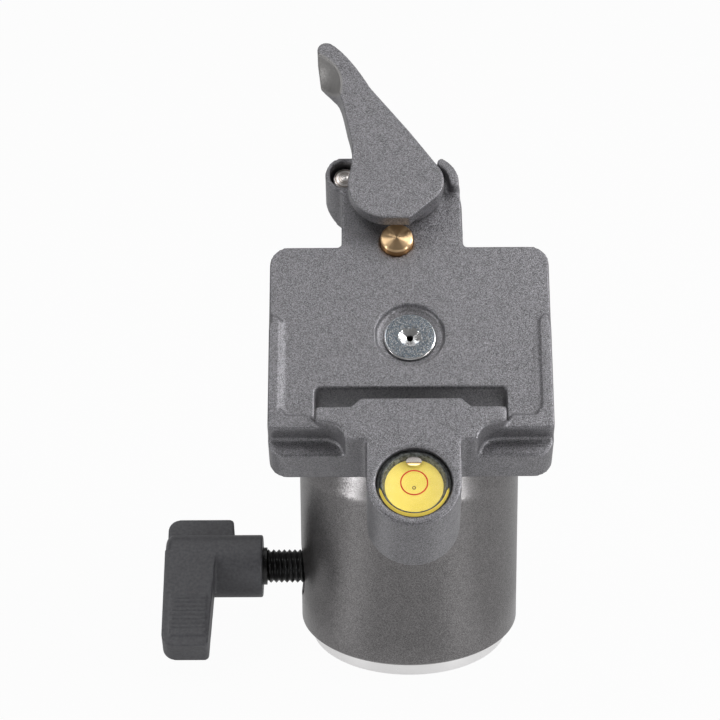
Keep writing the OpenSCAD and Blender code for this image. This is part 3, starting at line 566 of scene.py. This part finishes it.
# %% [markdown]
# ## Castings with soft edges
# The deck, the lever and the knob leave their moulds without one sharp edge, outside or in
# a corner, and those small radii catch the light. A bevel would need every edge chosen by
# hand, and it folds over itself where short edges meet. So the solid is sampled on a grid
# of fine cubes instead, and its skin is drawn anew. Then each point moves part of the way
# to the mean of its neighbours, a few times over: flat faces stay, and edges turn round.

# %% Draw a solid's skin anew with soft edges
def in_metres(place):
    """The same shifts and turns for a mesh in metres: only the shift is scaled."""
    matrix = place.copy()
    matrix[:3, 3] *= MM
    return Matrix(matrix.tolist())


def cast(node, name, place, cube, passes, finish):
    """Copy of a CAD solid, turned square to its place so that flat faces lie along the
    grid, remeshed in cubes of so many mm, smoothed by x = (x + mean of neighbours) / 2
    once a pass, and turned back."""
    source = frame["nodes"][node]
    sharp = source.data.copy()
    sharp.transform(in_metres(np.linalg.inv(place)))
    piece = bpy.data.objects.new(name, sharp)
    bpy.context.scene.collection.objects.link(piece)
    grid = piece.modifiers.new("grid_of_cubes", "REMESH")
    grid.mode, grid.voxel_size, grid.adaptivity = "VOXEL", cube * MM, 0.0
    soft = piece.modifiers.new("soft_edges", "SMOOTH")
    soft.factor, soft.iterations = 0.5, passes
    seen = piece.evaluated_get(bpy.context.evaluated_depsgraph_get())
    mesh = bpy.data.meshes.new_from_object(seen)
    piece.modifiers.clear()
    mesh.transform(in_metres(place))
    mesh.shade_smooth()
    mesh.materials.clear()
    mesh.materials.append(finish)
    mesh.name = name
    piece.data = mesh
    bpy.data.meshes.remove(sharp)
    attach(piece, source["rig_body"])
    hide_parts(node)
    print(f"{name}: {len(mesh.polygons)} faces from cubes of {cube} mm")


# %% The deck, the lever and the knob
cast("platform", "deck_casting", DECK, 0.48, 1, paint)
cast("lever", "lever_casting", PIVOT, 0.22, 2, lever_paint)
cast("knob", "knob_moulding", KNOB, 0.25, 3, knob_plastic)

# %% [markdown]
# ## Threads
# The CAD thread is a stack of rings, because a solid helix is slow to check. Here it can
# be a true helix at no cost: going once round raises the ridge by one pitch. The ring grid
# gets a reshape that lowers the radius by a triangle wave of height minus turned angle.

# %% The lock stud
STUD_MAJOR, STUD_PITCH, STUD_DEPTH = 3.96, 1.25, 0.62
STUD_TIP, STUD_END, THREAD_END = 9.1, 52.3, 60.0


def helix(pitch, depth, start, end):
    """Reshape for a thread: radius minus depth times a triangle wave of the height, in
    pitches, less the angle, in turns. At both ends the ridge fades over one pitch."""
    def reshape(r, h, a):
        phase = (h / pitch - a / (2 * np.pi)) % 1.0
        wave = np.abs(2 * phase - 1)
        fade = np.clip((h - start) / pitch, 0, 1) * np.clip((end - h) / pitch, 0, 1)
        return r - depth * (1 - (1 - wave) * fade) * (r > 0.01), h
    return reshape


# THREAD_END lies past the stud's own end, so the ridge fades at the tip alone.
threaded = np.arange(STUD_TIP + 1, STUD_END, STUD_PITCH / 8)
stud_profile = np.concatenate([
    [[0, STUD_TIP], [STUD_MAJOR - 0.9, STUD_TIP]],
    np.c_[np.full(len(threaded), STUD_MAJOR), threaded], [[0, STUD_END]]])
thread = helix(STUD_PITCH, STUD_DEPTH, STUD_TIP + 1, THREAD_END)
add_piece("lock_stud_thread", rings(stud_profile, 64, thread), STUD,
          "knob", black_oxide, ["lock_stud"])

# %% [markdown]
# ## Coil springs
# A coil spring is a round wire carried along a helix. Its surface has two parameters: how
# far along the wire, and how far round it. The last turns lie flat, as ground ends do.

# %% Springs under the deck
def coil(radius, wire, low, high, turns, steps=24, sides=8):
    """Tube on a helix: centre = (R cos t, R sin t, z(t)), and the tube's circle lies in the
    plane of the outward direction and the upright. z stays level for three quarters of a
    turn at both ends."""
    t = np.linspace(0, 2 * np.pi * turns, int(steps * turns) + 1)
    level = 0.75 / turns
    share = np.clip((t / t[-1] - level) / (1 - 2 * level), 0, 1)
    z = low + wire / 2 + share * (high - low - wire)
    a = np.linspace(0, 2 * np.pi, sides, endpoint=False)
    out = radius + wire / 2 * np.cos(a)[None, :]
    points = np.stack([
        out * np.cos(t)[:, None], out * np.sin(t)[:, None],
        z[:, None] + wire / 2 * np.sin(a)[None, :]], -1).reshape(-1, 3)
    i, j = np.meshgrid(np.arange(len(t) - 1), np.arange(sides), indexing="ij")
    k = (j + 1) % sides
    faces = np.stack([i * sides + j, i * sides + k, (i + 1) * sides + k, (i + 1) * sides + j], -1)
    return points, faces.reshape(-1, 4)


def add_spring(name, node, place, *sizes):
    """A coil, its two ends closed, as a piece that stands for the CAD's stack of turns."""
    piece = add_piece(name, coil(*sizes), place, "head", steel, [node])
    mesh = bmesh.new()
    mesh.from_mesh(piece.data)
    bmesh.ops.holes_fill(mesh, edges=[e for e in mesh.edges if e.is_boundary])
    bmesh.ops.recalc_face_normals(mesh, faces=mesh.faces)
    mesh.to_mesh(piece.data)
    mesh.free()
    return piece


add_spring("lever_torsion_coil", "lever_spring", PIVOT, 5.95, 0.7, -10.9, -6.2, 5.5)

# %% [markdown]
# Two springs stand under pins that can be pressed. A coil that kept its length would run
# into its pin; here each coil is made as a piece with a mesh of its own.

# %% Springs under the pins
def pressed_spring(name, node, place, radius, wire, low, high, turns):
    """A coil under a pin, its two ends closed, as a piece with a mesh of its own."""
    piece = add_spring(name, node, place, radius, wire, low, high, turns)
    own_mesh(piece)


pressed_spring("plunger_coil", "plunger_spring", PLUNGER, 2.75, 0.55, -8.95, -4.15, 5.5)
pressed_spring("detent_coil", "detent_spring", LATCH, 1.7, 0.5, -11.95, -6.45, 6)

# %% [markdown]
# ## The turned base
# The bright ring under the body is turned from aluminium: fine tool marks run round it.
# Its profile is a short list of corners, rounded by given radii, spun into rings. The
# tripod's thread inside it is the same helix as before, cut into a wall instead.

# %% Base with the tripod thread
BASE_R, BASE_T, PAN_R, PAN_TOP, BOSS_R, BOSS_TOP = 23.0, 3.5, 15.0, 8.0, 6.5, 9.5
TRIPOD_R, TRIPOD_DEPTH, TRIPOD_PITCH, MOUTH, RIDGE = 4.76, 8.5, 25.4 / 16, 0.8, 0.8
outside = rounded([
    [0, TRIPOD_DEPTH], [0, BOSS_TOP], [BOSS_R, BOSS_TOP], [BOSS_R, PAN_TOP], [PAN_R, PAN_TOP],
    [PAN_R, BASE_T], [BASE_R, BASE_T], [BASE_R, 0], [TRIPOD_R + MOUTH, 0], [TRIPOD_R, MOUTH]],
    [0, 0, 0.3, 0, 0.3, 0, 0.2, 0.4, 0, 0])
wall = np.arange(MOUTH + 0.1, TRIPOD_DEPTH, TRIPOD_PITCH / 8)
thread_wall = np.c_[np.full(len(wall), TRIPOD_R), wall]
base_profile = np.concatenate([outside, thread_wall, [[TRIPOD_R, TRIPOD_DEPTH], [0, TRIPOD_DEPTH]]])


def inner_thread(r, h, a):
    """The thread's ridges stand inwards from the bore's wall, and fade at its mouth."""
    phase = (h / TRIPOD_PITCH - a / (2 * np.pi)) % 1.0
    ridge = 1 - np.abs(2 * phase - 1)
    fade = np.clip((h - MOUTH) / TRIPOD_PITCH, 0, 1) * np.clip((TRIPOD_DEPTH - h) / RIDGE, 0, 1)
    on_wall = np.abs(r - TRIPOD_R) < 0.01
    return r - RIDGE * ridge * fade * on_wall, h


add_piece("turned_base", rings(base_profile, 128, inner_thread), UPRIGHT,
          "base", base_metal, ["base_plate"])

# %% [markdown]
# ## Ball and neck
# The ball is polished. The photograph hides nearly all of it, and from behind it is the
# brightest piece. A ready-made sphere would leave a seam at the neck, so ball and neck are
# one profile: an arc with even steps, and the neck grows out of it through a small cove.

# %% Ball and neck
BALL_R, NECK_R, NECK_TOP, SPIGOT_R, SPIGOT_TOP = 19.0, 7.5, 25.4, 6.0, 33.2
TAPPED_R, TAPPED_FLOOR = 3.0, 24.2
meet = math.acos(NECK_R / BALL_R)
arc = np.linspace(-np.pi / 2, meet - 0.02, 64)
neck = [[NECK_R, 19], [NECK_R, NECK_TOP], [SPIGOT_R, NECK_TOP], [SPIGOT_R, SPIGOT_TOP],
        [TAPPED_R, SPIGOT_TOP]]
ball_profile = np.concatenate([
    np.c_[BALL_R * np.cos(arc), BALL_R * np.sin(arc)],
    [[NECK_R + 0.25, 17.7], [NECK_R + 0.08, 18.1], [NECK_R, 18.6]],
    rounded(neck, 0.3), [[TAPPED_R, TAPPED_FLOOR], [0, TAPPED_FLOOR]]])
ball_profile[0, 0] = 0
add_piece("polished_ball", rings(ball_profile, 128), BALL, "ball", ball_metal, ["ball_stem"])

# %% [markdown]
# ## The screw in the deck
# A countersunk screw with a hexagon socket. The socket is a ring grid too: a hexagon's
# radius at any angle is its half width over the cosine of the angle from the nearest flat.
# Its floor is the shallow cone of the drill that made it, with the drill's point in the
# middle.

# %% Countersunk screw
SCREW_TOP, SCREW_END, HEAD_R, HEAD_DEEP = -1.0, -15.0, 5.77, 3.3
SHANK_R, SOCKET_AF, SOCKET_DEEP = 2.95, 4.0, 3.0


def socket(r, h, a):
    """Below the chamfer, and inside the head, a ring's radius is a hexagon's half width:
    divided by the cosine of the angle from the nearest flat it gives the hexagon."""
    off = (a + np.pi / 6) % (np.pi / 3) - np.pi / 6
    inside = (h < SCREW_TOP - 0.3) & (h > SCREW_TOP - SOCKET_DEEP - 0.1) & (r <= SOCKET_AF / 2)
    return np.where(inside, r / np.cos(off), r), h


head = rounded([
    [0, SCREW_END], [SHANK_R - 0.7, SCREW_END], [SHANK_R, SCREW_END + 0.8],
    [SHANK_R, SCREW_TOP - HEAD_DEEP], [HEAD_R, SCREW_TOP - 0.6], [HEAD_R, SCREW_TOP - 0.22],
    [HEAD_R - 0.32, SCREW_TOP], [3.4, SCREW_TOP]],
    [0, 0, 0, 0.4, 0.1, 0.15, 0.15, 0])
screw_profile = np.concatenate([head, [
    [2.5, SCREW_TOP], [2.38, SCREW_TOP - 0.06], [SOCKET_AF / 2, SCREW_TOP - 0.32],
    [0.75, SCREW_TOP - 0.95], [0.3, SCREW_TOP - 2.2], [0, SCREW_TOP - SOCKET_DEEP]]])
add_piece("countersunk_screw", rings(screw_profile, 96, socket), DECK,
          "ball", zinc, ["centre_screw"], crease=25)

# %% [markdown]
# ## The brass plunger and the detent pin
# Both are little turned pins. The plunger is brass with a step under its head, and the
# detent pin is worn steel with a nearly flat cone on top. Each is one profile with its own
# radius at every corner, and the turned finish does the rest.

# %% Plunger and pin
PLUNGER_R, PLUNGER_TOP, SHOULDER, STEM_R, STEM_END = 3.6, 2.0, -4.1, 2.0, -11.3
plunger_profile = rounded([
    [0, PLUNGER_TOP], [PLUNGER_R, PLUNGER_TOP], [PLUNGER_R, SHOULDER], [STEM_R, SHOULDER],
    [STEM_R, STEM_END], [0, STEM_END]], [0, 0.5, 0.2, 0.2, 0.3, 0])
add_piece("brass_plunger", rings(plunger_profile, 96), PLUNGER, "plunger", brass, ["plunger"])
PIN_R, PIN_TOP, PIN_END = 2.7, -1.4, -6.4
pin_corners = [[0, PIN_TOP], [PIN_R, PIN_TOP - 0.4], [PIN_R, PIN_END], [0, PIN_END]]
pin_profile = rounded(pin_corners, [0, 0.5, 0.2, 0])
add_piece("worn_pin", rings(pin_profile, 64), LATCH, "detent", worn_steel, ["detent_pin"])

# %% [markdown]
# ## The spirit level
# A round level is a cup with a dark wall, a dished yellow floor, a clear window with a
# printed ring, and a bubble. The wall leans outwards, so it is seen as a wide dark band at
# the back and a thin one in front, where a yellow edge with a painted glow also shows on its
# outside. Painting those bands on a flat disc would be quicker, but they would not move with
# the view, so the wall, the dish and the glowing edge are real surfaces.

# %% Cup and yellow dial
CREST, CUP_R, CUP_FOOT, CUP_FLOOR, LEDGE = 3.6, 8.0, -2.4, 0.5, 2.7
DIAL_R, DIAL_RIM, DIAL_DIP = 6.27, 1.8, 0.85
cup_section = rounded([
    [0, CUP_FOOT], [CUP_R, CUP_FOOT], [CUP_R, LEDGE], [7.45, LEDGE], [7.15, CREST], [6.9, CREST],
    [DIAL_R + 0.04, DIAL_RIM], [DIAL_R + 0.04, CUP_FLOOR], [0, CUP_FLOOR]],
    [0, 0.3, 0.15, 0.05, 0.1, 0.12, 0.1, 0, 0])
add_piece("vial_wall", rings(cup_section, 96), LEVEL, "head", vial_black, ["vial_cup"])
dish_r = np.linspace(DIAL_R, 0, 28)
dish = DIAL_RIM - DIAL_DIP * (1 - (dish_r / DIAL_R) ** 2)
dial_section = np.concatenate([[[0, CUP_FLOOR + 0.02], [DIAL_R, CUP_FLOOR + 0.02]], np.c_[dish_r, dish]])
add_piece("yellow_dial", rings(dial_section, 96), LEVEL, "head", vial_yellow, ["level_dial"])

# %% [markdown]
# Three rings finish the level: a thin brown ring of painted shade round the small pip in the
# dial's middle, the yellow edge with its painted glow that lies on the outside of the wall,
# and the red circle printed on the window. Each is a loop of four or five corners spun
# round, so it is closed, however thin it is.

# %% Pip's painted shade, glowing edge, red circle and window
# a flat ring of painted shade round the pip in the dial's middle
pip_shade_section = [[0.22, 0.0], [0.42, 0.0], [0.40, 0.06], [0.24, 0.06]]
dial_middle = LEVEL @ shift(0, 0, DIAL_RIM - DIAL_DIP + 0.01)
add_piece("centre_pip_shade", rings(pip_shade_section, 32, closed=True), dial_middle, "head", pip_painted_shade)
edge_section = [[7.17, CREST - 0.06], [7.62, LEDGE + 0.08], [7.60, LEDGE + 0.02],
                [7.47, LEDGE + 0.02], [7.16, CREST - 0.1]]


def sunk_behind(r, h, a):
    """The edge goes down into the cup where it passes the middle: only its front shows its painted glow."""
    return r, h - 0.6 * np.clip(np.sin(a) * 4 + 1, 0, 1)


# the yellow edge with its painted glow
add_piece("glowing_yellow_edge", rings(edge_section, 96, sunk_behind, closed=True), LEVEL,
          "head", painted_edge_glow)
RING_R, RING_HALF, RING_LOW, RING_HIGH = 2.85, 0.15, CREST + 0.01, CREST + 0.05
ring_section = [[RING_R - RING_HALF, RING_LOW], [RING_R + RING_HALF, RING_LOW],
                [RING_R + RING_HALF, RING_HIGH], [RING_R - RING_HALF, RING_HIGH]]
add_piece("red_circle", rings(ring_section, 96, closed=True), LEVEL,
          "head", red_print, ["level_ring"])
WINDOW_FOOT, WINDOW_TOP = 2.92, CREST - 0.02
lens_section = [[0, WINDOW_FOOT], [6.75, WINDOW_FOOT], [6.93, WINDOW_TOP], [0, WINDOW_TOP]]
add_piece("clear_window", rings(lens_section, 96), LEVEL, "head", lens, ["level_lens"])

# %% [markdown]
# The bubble is pressed flat under the window, so it is an ellipsoid: a ball whose three
# half axes differ. The ring grid makes the round one, and its back-to-front size is scaled.

# %% Air bubble
rise = np.linspace(-np.pi / 2, np.pi / 2, 17)
bubble_points, bubble_faces = rings(np.c_[BUBBLE_ACROSS * np.cos(rise), BUBBLE_HIGH * np.sin(rise)], 48)
bubble_points[:, 1] *= BUBBLE_ALONG / BUBBLE_ACROSS
add_piece("air_bubble_skin", (bubble_points, bubble_faces), BUBBLE,
          "head", bubble_painted_light, ["air_bubble"])

# %% [markdown]
# ## Solids that stay
# The body is a plain turned shell with sharp rims, so its CAD mesh is good as it is. The
# pieces inside it keep their CAD shape too, because nobody sees more than a strip of them.
# Each gets its real finish, assigned to the material slot of its mesh.

# %% Finishes of the solids that stay
kept = {
    "housing": body_paint, "pan_retainer": steel, "retainer_screws": steel, "pan_washer": acetal,
    "bearing_ring": dull_aluminium, "upper_seat": acetal, "core_block": dull_aluminium,
    "stud_bush": steel, "thrust_wedge": steel, "lift_piston": dull_aluminium, "disc_springs": steel,
    "lower_cup": acetal, "knob_insert": black_oxide, "slip_washer": acetal, "lever_shaft": steel,
    "shaft_clip": steel, "plunger_clip": steel}
for node, finish in kept.items():
    mesh = frame["nodes"][node].data
    mesh.materials.clear()
    mesh.materials.append(finish)
print(len(kept), "solids keep their CAD shape")

# %% [markdown]
# ## The floor
# The part stands on white paper. The paper is white where it is seen, directly or in
# polished metal, and it still takes the object's shadow. More light on the paper would
# whiten it too, but would wash out the object, so the kind of ray decides instead.
#
# The round body is glossy, and seen from above it mirrors the table in front of it. The
# real one shows two upright bands, as if two bright cards lay on the table, left and right
# of the camera. Lamps stand too high to be mirrored there, so the paper itself is brighter
# in two sectors, for mirror rays alone. To the camera it stays plain.

# %% White by the kind of ray
def seen_white(add, white, mirrored_white):
    """The value white for camera and glass rays, mirrored_white for mirror rays, else zero.
    Either may be a number or a socket."""
    path = add("LightPath").outputs
    direct = calc(add, "MAXIMUM", path["Is Camera Ray"], path["Is Transmission Ray"])
    mirrored = calc(add, "MULTIPLY", path["Is Glossy Ray"], mirrored_white)
    return calc(add, "MAXIMUM", calc(add, "MULTIPLY", direct, white), mirrored)


# %% Two bright cards, for mirror rays
CARD_LEFT, CARD_RIGHT, CARD_HALF_WIDTH = math.radians(-49), math.radians(44), math.radians(24)
CARD_NEAR, CARD_BRIGHT, BETWEEN_CARDS = 0.036, 0.9, 0.38


def two_cards(add):
    """Level of the floor in a mirror: bright in two sectors and dim between, by the angle
    atan2(x, -y) from the front. Under the object it has the mean of both."""
    point = add("TexCoord").outputs["Object"]
    part = add("SeparateXYZ", [(point, "Vector")]).outputs
    angle = calc(add, "ARCTAN2", part["X"], calc(add, "MULTIPLY", part["Y"], -1.0))
    off = [calc(add, "ABSOLUTE", calc(add, "SUBTRACT", angle, card)) for card in (CARD_LEFT, CARD_RIGHT)]
    sector = mapped(add, calc(add, "MINIMUM", *off), 0.0, CARD_HALF_WIDTH, CARD_BRIGHT, BETWEEN_CARDS,
                    interpolation_type="SMOOTHSTEP")
    beyond = calc(add, "GREATER_THAN", vector_calc(add, "LENGTH", point), CARD_NEAR)
    mean = (BETWEEN_CARDS + CARD_BRIGHT) / 2
    return add("Mix", [(beyond, "Factor"), (mean, "A"), (sector, "B")], data_type="FLOAT").outputs["Result"]


# %% Floor
FLOOR_HALF, FLOOR_WHITE, FLOOR_GREY = 4.0, 0.965, 0.45
corners = [(x * FLOOR_HALF, y * FLOOR_HALF, 0) for x, y in ((-1, -1), (1, -1), (1, 1), (-1, 1))]
floor_mesh = bpy.data.meshes.new("floor")
floor_mesh.from_pydata(corners, [], [(0, 1, 2, 3)])
floor = bpy.data.objects.new("floor", floor_mesh)
bpy.context.scene.collection.objects.link(floor)
floor_paint, tree, shader, add = new_finish("floor_paint")
shader.inputs["Base Color"].default_value = rgba(FLOOR_GREY, FLOOR_GREY, FLOOR_GREY)
shader.inputs["Roughness"].default_value = 0.9
glow = add("Emission", Strength=1.0).outputs["Emission"]
share = seen_white(add, FLOOR_WHITE, two_cards(add))
mixed = add("MixShader", [(share, "Fac"), (shader.outputs["BSDF"], 1), (glow, 2)])
tree.links.new(mixed.outputs["Shader"], node_of(tree, "OUTPUT_MATERIAL").inputs["Surface"])
floor_mesh.materials.append(floor_paint)
print("floor:", 2 * FLOOR_HALF, "m square")

# %% [markdown]
# ## The room
# The walls are white up to a little above the floor, and polished metal shows them too.
# Higher up a mirror sees the dim ceiling, which keeps flat polished faces from glaring. A
# picture of a room would do the same, but a ramp over the height of a ray is enough.

# %% World
ROOM_LEVEL, WALL_TOP, WALL_MIRRORED = 0.12, 0.2, 0.55
world = bpy.data.worlds.new("white_room")
bpy.context.scene.world = world
world.use_nodes = True
add = node_maker(world.node_tree)
height = add("SeparateXYZ", [(add("TexCoord").outputs["Generated"], "Vector")]).outputs["Z"]
wall = mapped(add, height, 0.0, WALL_TOP, WALL_MIRRORED, 0.0)
level = mapped(add, seen_white(add, 1.0, wall), 0.0, 1.0, ROOM_LEVEL, 1.0)
background = node_of(world.node_tree, "BACKGROUND")
background.inputs["Color"].default_value = rgba(1.0, 1.0, 1.0)
world.node_tree.links.new(level, background.inputs["Strength"])
print("room: white walls, and a ceiling at", ROOM_LEVEL)

# %% [markdown]
# ## The lamps
# A strong box on the right models the steps of the deck, and wide weak ones light it from
# above and behind. The two above stand apart, so that the flat screw mirrors the dark gap
# between them while the brass, which spreads its highlight sideways, catches both. Two low
# strips light the round body from left and right, and a small card in front lifts the faces
# that look at the camera. Light adds up, so one picture with each lamp alone and a least
# squares sum gave a first mix near the photograph, and the rest was tuned one by one. A lamp is
# set by how bright its face looks, so that its size can change without its glow.

# %% Soft boxes
CENTRE = (0, 0, 0.06)


def soft_box(name, place, width, height, glow):
    """Area lamp facing the object whose surface has the radiance glow: watts = glow times
    pi times area."""
    data = bpy.data.lights.new(name, "AREA")
    data.shape, data.size, data.size_y = "RECTANGLE", width, height
    data.energy = glow * math.pi * width * height
    lamp = bpy.data.objects.new(name, data)
    bpy.context.scene.collection.objects.link(lamp)
    lamp.location = place
    lamp.rotation_euler = (Vector(CENTRE) - Vector(place)).to_track_quat("-Z", "Y").to_euler()
    print(f"{name}: {data.energy:.2f} W")


def around(degrees, distance, height):
    """Place at a distance from the axis, turned from the front towards the right."""
    turned = math.radians(degrees)
    return distance * math.sin(turned), -distance * math.cos(turned), height


soft_box("box_behind", (0, 0.45, 0.85), 0.8, 0.7, 0.7)
soft_box("box_above_left", (-0.4, -0.12, 0.85), 0.4, 0.45, 3.0)
soft_box("box_above_right", (0.4, -0.12, 0.85), 0.4, 0.45, 3.5)
soft_box("box_right", around(85, 0.7, 0.5), 0.35, 0.35, 7.5)
soft_box("strip_left", around(-58, 0.75, 0.13), 0.1, 0.26, 14.0)
soft_box("strip_right", around(50, 0.75, 0.13), 0.12, 0.26, 11.0)
soft_box("card_front", around(8, 0.9, 0.06), 0.5, 0.2, 0.4)

# %% [markdown]
# ## The camera
# A long lens looks down at the part, as for a shop's picture: upright edges stay nearly
# parallel. Its place was found by fitting known points of the part to the photograph, with
# the part's own axis as the start: so far to the side, so far up, and so far back.

# %% Camera
LENS, SENSOR, ELEVATION, AZIMUTH, ROLL = 150.0, 36.0, 24.359, 0.424, -0.456
DISTANCE, ACROSS, UP = 687.427, -11.206, 69.922
e = math.radians(ELEVATION)
heading = turn("z", AZIMUTH)[:3, :3]
right = heading @ [1, 0, 0]
forward = heading @ [0, math.cos(e), -math.sin(e)]
upward = heading @ [0, math.sin(e), math.cos(e)]
eye = np.array([0, 0, UP]) + ACROSS * right - DISTANCE * forward
c, s = math.cos(math.radians(ROLL)), math.sin(math.radians(ROLL))
pose = np.eye(4)
pose[:3, 0] = c * right + s * upward
pose[:3, 1] = -s * right + c * upward
pose[:3, 2] = -forward
pose[:3, 3] = eye * MM
camera_data = bpy.data.cameras.new("camera")
camera_data.lens, camera_data.sensor_width = LENS, SENSOR
camera = bpy.data.objects.new("camera", camera_data)
camera.matrix_world = Matrix(pose.tolist())
bpy.context.scene.collection.objects.link(camera)
bpy.context.scene.camera = camera
bpy.context.scene.view_settings.view_transform = "Standard"
print("camera at", np.round(eye), "mm")
